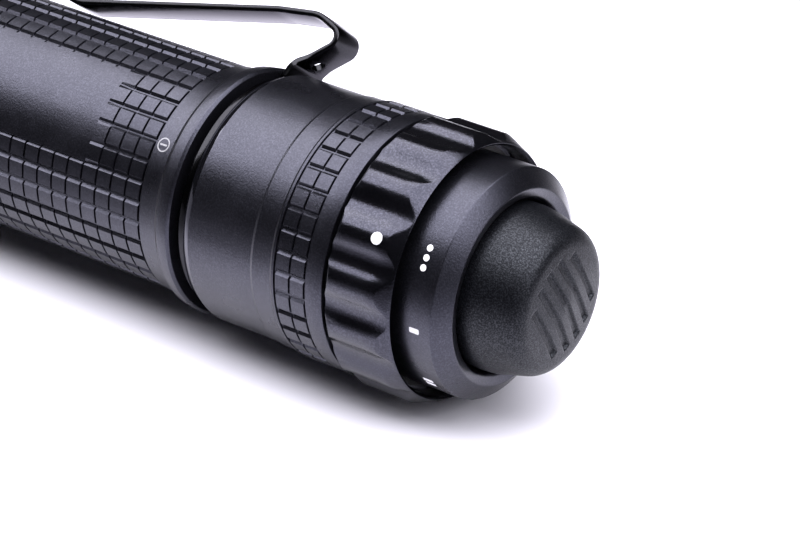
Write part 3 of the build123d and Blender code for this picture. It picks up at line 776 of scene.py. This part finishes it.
# --- Pocket clip -------------------------------------------------------------------------
CLIP_ANGLE = 51.3
CLIP_WIDTH = 4.7
CLIP_THICK = 0.7
RING_IN = SEAL_R + 0.25
RING_OUT = 12.95
RING_FRONT = FLANGE_END + 0.7
RING_BACK = FLANGE_END + 1.5
RING_OPENING = 30.0
TAB_WIDTH = 9.0             # where the strip leaves the ring
TAB_ROOT = 12.6
TAB_SHOULDER = 6.0          # width where the strip bends towards the tail
TAB_REACH = 1.7             # how far past that bend the strip is wider than CLIP_WIDTH
TONGUE_START = (FLANGE_END + 0.5, 14.4)
TONGUE_END = (FLANGE_END + 5.1, 18.85)
LANYARD_R = 0.75
LANYARD_PLACE = 0.24        # share of the way along the tongue
STRIP_CORNER = 0.2          # rounding of the strip's edges
TIP_LENGTH = 2.2            # rounded tip of the strip
TIP_SHARE = 0.55            # width of the tip's end, as a share of the strip's


def clip_point(x, radial, sideways):
    """Point at a radius in the clip's mid-plane, and to one side of it."""
    turn = math.radians(CLIP_ANGLE)
    return (
        x,
        radial * math.cos(turn) - sideways * math.sin(turn),
        radial * math.sin(turn) + sideways * math.cos(turn),
    )


def clip_strip():
    """Vertices and faces of the bent strip: a rounded cross-section along its middle line."""
    line = soften([
        (RING_FRONT + 0.4, TAB_ROOT), TONGUE_START, TONGUE_END, (FLANGE_END + 0.8, 20.36),
        (FLANGE_END - 4.5, 19.55), (FLANGE_END - 30.6, 13.25), (FLANGE_END - 36.0, 15.4),
    ], 0, 12, closed=False, radii={1: 1.1, 2: 1.8, 3: 3.6, 4: 7.0, 5: 5.0})
    line = refine(line, 0.6)
    ahead = np.gradient(line, axis=0)
    ahead /= np.linalg.norm(ahead, axis=1)[:, None]
    normal = np.stack([-ahead[:, 1], ahead[:, 0]], 1)
    steps = np.linalg.norm(np.diff(line, axis=0), axis=1)
    travelled = np.concatenate([[0], np.cumsum(steps)])
    root = np.linalg.norm(np.subtract(TONGUE_START, line[0]))
    widths = np.interp(travelled, [0, root, root + TAB_REACH, travelled[-1]],
                       [TAB_WIDTH, TAB_SHOULDER, CLIP_WIDTH, CLIP_WIDTH])
    half_t = CLIP_THICK / 2
    corner = STRIP_CORNER
    section = []
    for sx, sy, start in ((1, 1, 0), (-1, 1, 90), (-1, -1, 180), (1, -1, 270)):
        for k in range(4):
            turn = math.radians(start + 30 * k)
            section.append((
                sx, corner * math.cos(turn), sy * (half_t - corner) + corner * math.sin(turn),
            ))
    vertices = []
    for point, side, width in zip(line, normal, widths):
        left = min(np.linalg.norm(line[-1] - point) / TIP_LENGTH, 1)
        taper = TIP_SHARE + (1 - TIP_SHARE) * math.sqrt(1 - (1 - left)**2)
        for end, rounding, thick in section:
            x, radial = point + side * thick
            reach = end * (width / 2 - corner) + rounding
            vertices.append(clip_point(x, radial, reach * taper))
    return vertices, loop_faces(len(line), len(section), capped=True)


def clip_band():
    """Vertices and faces of the open ring that sits in the groove."""
    first = CLIP_ANGLE + 180 + RING_OPENING / 2
    angles = np.radians(np.linspace(first, first + 360 - RING_OPENING, 120))
    section = soften([
        (RING_FRONT, RING_IN), (RING_FRONT, RING_OUT), (RING_BACK, RING_OUT), (RING_BACK, RING_IN),
    ], 0.15, 3)
    vertices = [
        (x, r * math.cos(turn), r * math.sin(turn)) for turn in angles for x, r in section
    ]
    return vertices, loop_faces(len(angles), len(section), capped=True)


def drill_hole(piece, low, high, radius):
    """Cuts a round hole through the piece, from one point to another."""
    mesh = bpy.data.meshes.new("drill")
    bm = bmesh.new()
    bmesh.ops.create_cone(
        bm, cap_ends=True, segments=48, radius1=radius, radius2=radius,
        depth=(high - low).length,
    )
    bm.to_mesh(mesh)
    bm.free()
    drill = bpy.data.objects.new("drill", mesh)
    bpy.context.scene.collection.objects.link(drill)
    drill.matrix_world = (
        Matrix.Translation((low + high) / 2)
        @ (high - low).to_track_quat("Z", "Y").to_matrix().to_4x4()
    )
    cut = piece.modifiers.new("hole", "BOOLEAN")
    cut.object = drill
    cut.operation = "DIFFERENCE"
    cut.solver = "EXACT"
    graph = bpy.context.evaluated_depsgraph_get()
    cut_mesh = bpy.data.meshes.new_from_object(piece.evaluated_get(graph))
    piece.modifiers.clear()
    piece.data = cut_mesh
    bpy.data.objects.remove(drill)


def clip():
    """Bent strip with its lanyard hole, and the open ring that carries it."""
    piece = make_object("clip_strip", *clip_strip(), coated, crease=30)
    tongue = np.subtract(TONGUE_END, TONGUE_START)
    centre = np.add(TONGUE_START, tongue * LANYARD_PLACE)
    reach = 1.2 * np.array((-tongue[1], tongue[0])) / np.linalg.norm(tongue)
    low = Vector(clip_point(*(centre - reach), 0)) * MM
    high = Vector(clip_point(*(centre + reach), 0)) * MM
    drill_hole(piece, low, high, LANYARD_R * MM)
    piece.data.set_sharp_from_angle(angle=math.radians(30))
    place(piece, "clip", "coated_steel", "pocket_clip")
    band = make_object("clip_band", *clip_band(), coated, crease=30)
    place(band, "clip", "coated_steel")


clip()

# --- Head and bezel ----------------------------------------------------------------------
BEZEL_R = 14.3
HEAD_R = 15.89
CHAMFER = 1.6               # at the head's front edge
SPIGOT_R = 12.9
SPIGOT_END = 12.0
WINDOW_R = 11.6
LENS_R = 12.2
LIP_END = 1.5
NOTCHES = 6
NOTCH_W = 4.2
NOTCH_WALL = 0.35           # degrees over which a notch's wall rises
FLATS = 6
FLAT_ANGLE = 270.0          # of the flat that the light lies on
FLAT = -FLOOR_Z / MM
FINS = 3
FIN_START = 25.0
FIN_R = 15.1
FIN_PITCH = 2.6
FIN_GAP = 1.3
FIN_DEPTH = 1.7
FIN_LEAD = 1.1              # from the start of the finned part to its first groove
TAPER_START = 33.6
TAPER_R = 13.3
SEAL_START = 38.0           # where the bore for the tube's seal starts
LED_BOARD_FRONT = 23.2
LED_BOARD_BORE = 8.05
SHELF_FRONT = 24.8
SHELF_BACK = 27.2
SHELF_BORE = 5.6            # opening for the leads
DRIVER_BACK = 31.0
DRIVER_BORE = 9.05
DRIVER_RING_BORE = 9.7
REFLECTOR_BORE = 12.5


def smooth_min(a, b, blend):
    """Lesser of two values, rounded where they cross."""
    h = np.clip(0.5 + 0.5 * (b - a) / blend, 0, 1)
    return b * (1 - h) + a * h - blend * h * (1 - h)


def head():
    """Head: six flats, three cooling grooves, and stepped bores for the parts inside."""
    outer = [
        (HEAD_START, SPIGOT_R + PLAY), (HEAD_START, BEZEL_R), (HEAD_START + CHAMFER, HEAD_R),
        (FIN_START - 0.8, HEAD_R), (FIN_START, FIN_R),
    ]
    for fin in range(FINS):
        start = FIN_START + FIN_LEAD + fin * FIN_PITCH
        outer += [
            (start, FIN_R), (start, FIN_R - FIN_DEPTH), (start + FIN_GAP, FIN_R - FIN_DEPTH),
            (start + FIN_GAP, FIN_R),
        ]
    outer += [
        (TAPER_START, FIN_R), (HEAD_END - 1.4, TAPER_R), (HEAD_END, TAPER_R),
        (HEAD_END, SEAL_R + PLAY),
    ]
    outer = soften(outer, 0.14, 3, closed=False)
    dense = [tuple(p) for p in refine(outer, 0.5)]
    inner = [
        (SEAL_START, SEAL_R + PLAY), (SEAL_START, THREAD_R + PLAY),
        (TUBE_START - 0.2, THREAD_R + PLAY), (TUBE_START - 0.2, DRIVER_RING_BORE),
        (DRIVER_BACK, DRIVER_RING_BORE), (DRIVER_BACK, DRIVER_BORE), (SHELF_BACK, DRIVER_BORE),
        (SHELF_BACK, SHELF_BORE), (SHELF_FRONT, SHELF_BORE), (SHELF_FRONT, LED_BOARD_BORE),
        (LED_BOARD_FRONT, LED_BOARD_BORE), (LED_BOARD_FRONT, REFLECTOR_BORE),
        (SPIGOT_END + 0.2, REFLECTOR_BORE), (SPIGOT_END + 0.2, SPIGOT_R + PLAY),
    ]
    last = len(dense)

    def shape(xs, rs, turns):
        step = 360 / FLATS
        off = np.radians((turns[:last] - FLAT_ANGLE + step / 2) % step - step / 2)
        limit = FLAT / np.cos(off)
        outside = rs[:last] > SPIGOT_R + 2 * PLAY
        rs[:last] = np.where(outside, smooth_min(rs[:last], limit, 0.12), rs[:last])
        rs[:last] = np.minimum(rs[:last], limit)
        return xs, rs

    piece = turned("head_shell", dense + inner, anodised, even(360), shape, crease=28)
    place(piece, "light_body", "anodised_aluminium", "head")


head()


def bezel():
    """Bezel: the lip over the lens, the spigot in the head, and notches in the front edge."""
    outline = soften([
        (BEZEL_TIP, WINDOW_R + 0.5), (BEZEL_TIP, BEZEL_R - 0.4), (BEZEL_TIP + 0.4, BEZEL_R),
        (HEAD_START, BEZEL_R), (HEAD_START, SPIGOT_R), (SPIGOT_END, SPIGOT_R),
        (SPIGOT_END, LENS_R + PLAY), (LIP_END, LENS_R + PLAY), (LIP_END, WINDOW_R),
        (BEZEL_TIP + 0.5, WINDOW_R),
    ], 0.1, 3)
    radius = (BEZEL_R + WINDOW_R) / 2
    half = math.degrees(NOTCH_W / 2 / radius)
    edge = half + NOTCH_WALL
    pitch = 360 / NOTCHES
    steps = []
    for notch in range(NOTCHES):
        middle = (notch + 0.5) * pitch
        steps += [middle + off for off in (-edge, -half, half, edge)]
        steps += [middle + edge + part * (pitch - 2 * edge) / 10 for part in range(1, 10)]
        steps += [middle + part * half for part in (-0.5, 0, 0.5)]
    angles = np.array(sorted(step % 360 for step in steps))

    def shape(xs, rs, turns):
        off = np.abs(turns % pitch - pitch / 2)
        floor = np.clip((edge - off) / NOTCH_WALL, 0, 1)
        return np.maximum(xs, BEZEL_TIP * (1 - floor)), rs

    piece = turned("bezel_shell", outline, satin, angles, shape, crease=28)
    place(piece, "light_body", "anodised_aluminium", "bezel")


bezel()

LENS_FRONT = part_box("lens")[0].x / MM
LENS_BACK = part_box("lens")[1].x / MM


def lens():
    """Flat window."""
    outline = soften([
        (LENS_FRONT, 0.02), (LENS_FRONT, LENS_R), (LENS_BACK, LENS_R), (LENS_BACK, 0.02),
    ], 0.2, 3, closed=False)
    piece = turned("lens_glass", outline, glass, even(128), capped=True)
    place(piece, "light_body", "window_glass", "lens")


lens()

CUP_R = 11.3
CUP_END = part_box("reflector")[1].x / MM
CUP_VERTEX = 22.9


def reflector():
    """Parabola whose focus is at the emitter."""
    depth = CUP_VERTEX - LENS_BACK
    stations = LENS_BACK + (CUP_END - LENS_BACK) * np.linspace(0, 1, 40)**0.8
    inside = [(x, CUP_R * math.sqrt((CUP_VERTEX - x) / depth)) for x in stations]
    outside = [
        (CUP_END, 6.4), (CUP_END - 1.2, 6.4), (10.0, LENS_R - 1.0), (5.3, LENS_R - 0.1),
        (5.3, LENS_R), (LENS_BACK, LENS_R),
    ]
    piece = turned("reflector_cup", inside + outside, mirror, even(192))
    place(piece, "light_body", "mirror_coating", "reflector")


reflector()

# --- White marks -------------------------------------------------------------------------
MARK_LIFT = 0.015
MARK_SINK = 0.05
MARK_EDGE = 0.22            # longest edge before a patch is bent round the surface


def mark(name, body, surface, x0, angle0, outline, material=paint):
    """Thin painted patch; outline is (along X, around) in mm and surface(x, angle) a radius."""
    bm = bmesh.new()
    flat = [bm.verts.new((u, v, 0)) for u, v in outline]
    bm.faces.new(flat)
    bmesh.ops.triangulate(bm, faces=bm.faces)
    for _ in range(3):
        long_edges = [e for e in bm.edges if e.calc_length() > MARK_EDGE]
        if long_edges:
            bmesh.ops.subdivide_edges(bm, edges=long_edges, cuts=1)
            bmesh.ops.triangulate(bm, faces=bm.faces)
    raised = bmesh.ops.extrude_face_region(bm, geom=list(bm.faces))
    top = {v for v in raised["geom"] if isinstance(v, bmesh.types.BMVert)}
    base_r = float(surface(x0, angle0))
    for v in bm.verts:
        x = x0 + v.co.x
        angle = angle0 + math.degrees(v.co.y / base_r)
        radius = float(surface(x, angle)) + (MARK_LIFT if v in top else -MARK_SINK)
        turn = math.radians(angle)
        v.co = Vector((x, radius * math.cos(turn), radius * math.sin(turn))) * MM
    bmesh.ops.recalc_face_normals(bm, faces=bm.faces)
    mesh = bpy.data.meshes.new(name)
    bm.to_mesh(mesh)
    bm.free()
    mesh.shade_smooth()
    mesh.set_sharp_from_angle(angle=math.radians(40))
    mesh.materials.append(material)
    piece = bpy.data.objects.new(name, mesh)
    bpy.context.scene.collection.objects.link(piece)
    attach(piece, body)


def disc(radius, v=0.0, sides=28):
    """Round spot, v mm around from the mark's own place."""
    turns = [2 * math.pi * k / sides for k in range(sides)]
    return [(radius * math.cos(t), v + radius * math.sin(t)) for t in turns]


def bar(length, width, v=0.0, cut=0.08):
    """Short painted line along X, with cut corners."""
    a, b, c = length / 2, width / 2, cut
    return [(s, v + t) for s, t in (
        (-a + c, -b), (a - c, -b), (a, -b + c), (a, b - c), (a - c, b), (-a + c, b),
        (-a, b - c), (-a, -b + c),
    )]


DOT_X = FLANGE_END + 26.4
DOT_R = 0.66
MARK_X = FLANGE_END + 31.3
MARK_ANGLE = INDEX_ANGLE + 0.7
BAR_LENGTH = 1.2
BAR_WIDTH = 0.6
BAR_GAP = 0.85
SMALL_DOTS = 3
SMALL_DOT_R = 0.36
SMALL_DOT_PITCH = 1.05


def ring_surface(x, angle):
    """Radius of the selector ring's ribs."""
    return rib_radius(angle)


def collar_surface(x, angle):
    """Radius of the collar in front of its cone."""
    return COLLAR_R


mark("index_dot", "selector", ring_surface, DOT_X, INDEX_ANGLE, disc(DOT_R))
for dot in range(SMALL_DOTS):
    offset = (dot - (SMALL_DOTS - 1) / 2) * SMALL_DOT_PITCH
    mark(f"position_0_dot_{dot}", "tail_cap", collar_surface, MARK_X, MARK_ANGLE,
         disc(SMALL_DOT_R, v=offset, sides=20))
for position in (1, 2, 3):
    for stroke in range(position):
        offset = (stroke - (position - 1) / 2) * BAR_GAP
        mark(f"position_{position}_bar_{stroke}", "tail_cap", collar_surface, MARK_X,
             MARK_ANGLE + position * MARK_STEP, bar(BAR_LENGTH, BAR_WIDTH, v=offset))


def band_surface(x, angle):
    """Radius of the tube's plain band, which widens towards the flange."""
    share = (x - BAND_START) / (FLANGE_END - 2.4 - BAND_START)
    return TUBE_R + 0.1 + 0.2 * share


POLARITY_X = FLANGE_END - 3.65
POLARITY_ANGLE = INDEX_ANGLE - 7.4


def polarity_mark():
    """Minus sign in a circle, the usual sign for the negative end of the cell."""
    outer, inner, sides = 0.80, 0.66, 12
    for part in range(sides):
        turns = [2 * math.pi * (part + t) / sides for t in (0, 0.5, 1.0)]
        ring_part = [(outer * math.cos(t), outer * math.sin(t)) for t in turns]
        ring_part += [(inner * math.cos(t), inner * math.sin(t)) for t in reversed(turns)]
        mark(f"polarity_ring_{part}", "light_body", band_surface, POLARITY_X, POLARITY_ANGLE,
             ring_part, grey_paint)
    mark("polarity_bar", "light_body", band_surface, POLARITY_X, POLARITY_ANGLE,
         bar(0.95, 0.2, cut=0.04), grey_paint)


polarity_mark()

# --- Floor, light and camera -------------------------------------------------------------
FLOOR_SIZE = 4.0
LIGHT_POOL_REACH = 0.2           # distance over which the painted pool of light fades to the last tone
# Painted pool of light: tones of the floor's colour, from near white to grey with distance, stand
# in for light falling off; FLOOR_MIDDLE, FLOOR_TURN and FLOOR_STRETCH centre, turn and stretch it.
LIGHT_POOL_TONES = [(0.24, 0.9), (0.3, 0.6), (0.36, 0.38), (0.43, 0.2), (0.9, 0.14)]
FLOOR_MIDDLE = (FLANGE_END + 1.4, 24.9)
FLOOR_TURN = math.radians(37)
FLOOR_STRETCH = 1.5


def floor():
    """Pale table with a painted pool of light: its colour is whitest around the tail and darkens
    with distance, standing in for light that falls off; the pool is longer than it is wide.
    """
    mesh = bpy.data.meshes.new("floor")
    h = FLOOR_SIZE / 2
    mesh.from_pydata([(-h, -h, 0), (h, -h, 0), (h, h, 0), (-h, h, 0)], [], [(0, 1, 2, 3)])
    obj = bpy.data.objects.new("floor", mesh)
    obj.location = (FLOOR_MIDDLE[0] * MM, FLOOR_MIDDLE[1] * MM, FLOOR_Z)
    obj.rotation_euler = (0, 0, FLOOR_TURN)
    obj.scale = (1, FLOOR_STRETCH, 1)
    bpy.context.scene.collection.objects.link(obj)
    material, nodes, links, shader = new_material("floor_painted_light_pool")
    shader.inputs["Roughness"].default_value = 0.75
    shader.inputs["Specular IOR Level"].default_value = 0.2
    # painted pool of light: the floor's colour darkens with distance from its middle
    distance = nodes.new("ShaderNodeVectorMath")
    distance.operation = "LENGTH"
    links.new(own_place(nodes), distance.inputs[0])
    fade = map_range(nodes, links, distance.outputs["Value"], 0.0, LIGHT_POOL_REACH, 0.0, 1.0)
    shade = ramp(nodes, links, fade.outputs["Result"],
                 [(place, (0.96 * tone, 0.95 * tone, tone)) for place, tone in LIGHT_POOL_TONES])
    links.new(shade.outputs["Color"], shader.inputs["Base Color"])
    mesh.materials.append(material)


floor()


AIM = Vector((FLANGE_END + 21.0, -1.3, -1.5)) * MM     # what the lights are placed around
LIGHT_COLOUR = (0.96, 0.945, 1.02)
STRIP_PLACE = Vector((0, -0.01, 0.55))
STRIP_SIZE = (2.42, 0.69)
STRIP_TURN = math.radians(10.3)
STRIP_POWER = 31.0
PANEL_PLACE = Vector((1.3, 0.06, 0.45))
PANEL_SIZE = (0.6, 0.36)
PANEL_POWER = 2.6
WORLD_COLOUR = (0.86, 0.87, 0.95, 1)
WORLD_STRENGTH = 0.03


def softbox(name, size, power, place, turn):
    """Rectangular area light; it shines down its own Z axis."""
    data = bpy.data.lights.new(name, "AREA")
    data.shape = "RECTANGLE"
    data.size, data.size_y = size
    data.energy = power
    data.color = LIGHT_COLOUR
    box = bpy.data.objects.new(name, data)
    box.matrix_world = Matrix.Translation(AIM + place) @ turn
    bpy.context.scene.collection.objects.link(box)


softbox("overhead", STRIP_SIZE, STRIP_POWER, STRIP_PLACE, Matrix.Rotation(STRIP_TURN, 4, "Z"))
softbox("tail_panel", PANEL_SIZE, PANEL_POWER, PANEL_PLACE,
        PANEL_PLACE.to_track_quat("Z", "Y").to_matrix().to_4x4())

world = bpy.data.worlds.new("studio")
bpy.context.scene.world = world
world.use_nodes = True
backdrop = world.node_tree.nodes["Background"]
backdrop.inputs["Color"].default_value = WORLD_COLOUR
backdrop.inputs["Strength"].default_value = WORLD_STRENGTH

CAMERA_PLACE = Vector((FLANGE_END + 218.63, -263.3, 175.9)) * MM
CAMERA_VIEW = Vector((-0.5296, 0.7024, -0.4755))
CAMERA_LENS = 161.3
CAMERA_ROLL = math.radians(0.26)
camera_data = bpy.data.cameras.new("camera")
camera_data.lens = CAMERA_LENS
camera_data.sensor_width = 36.0
camera_data.clip_start = 0.01
camera = bpy.data.objects.new("camera", camera_data)
camera.matrix_world = (
    Matrix.Translation(CAMERA_PLACE)
    @ CAMERA_VIEW.to_track_quat("-Z", "Y").to_matrix().to_4x4()
    @ Matrix.Rotation(CAMERA_ROLL, 4, "Z")
)
bpy.context.scene.collection.objects.link(camera)
bpy.context.scene.camera = camera
bpy.context.scene.view_settings.view_transform = "Standard"
